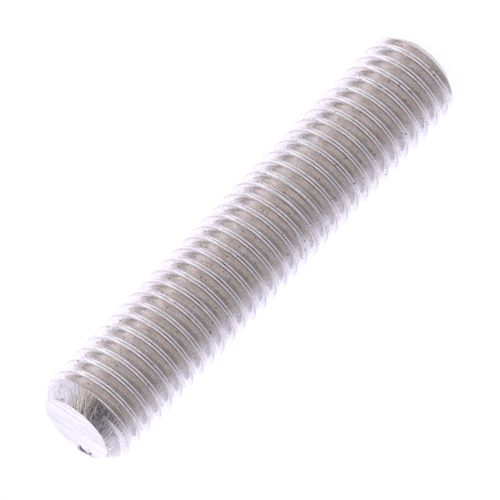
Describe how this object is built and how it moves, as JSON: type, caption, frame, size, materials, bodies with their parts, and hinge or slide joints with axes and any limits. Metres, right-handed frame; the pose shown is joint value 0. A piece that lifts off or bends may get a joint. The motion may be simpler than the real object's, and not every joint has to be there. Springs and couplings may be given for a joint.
{
  "type": "stud bolt",
  "caption": "Fully threaded right-hand metric stud bolt of bright steel, with a chamfer at each end, for clamping with nuts or in tapped holes.",
  "frame": {"origin": "centre of the foot end face, with the stud standing on that end", "axes": "+Z along the stud's axis, from the foot end to the end that is nearer the camera in the picture; -Y is the side that faces the camera"},
  "size_m": [0.0098, 0.0098, 0.05],
  "materials": {
    "steel": "bright rolled thread, turned chamfers and sawn ends, uncoated or thinly zinc plated"
  },
  "bodies": {
    "root": {"stud": "steel"}
  },
  "joints": []
}
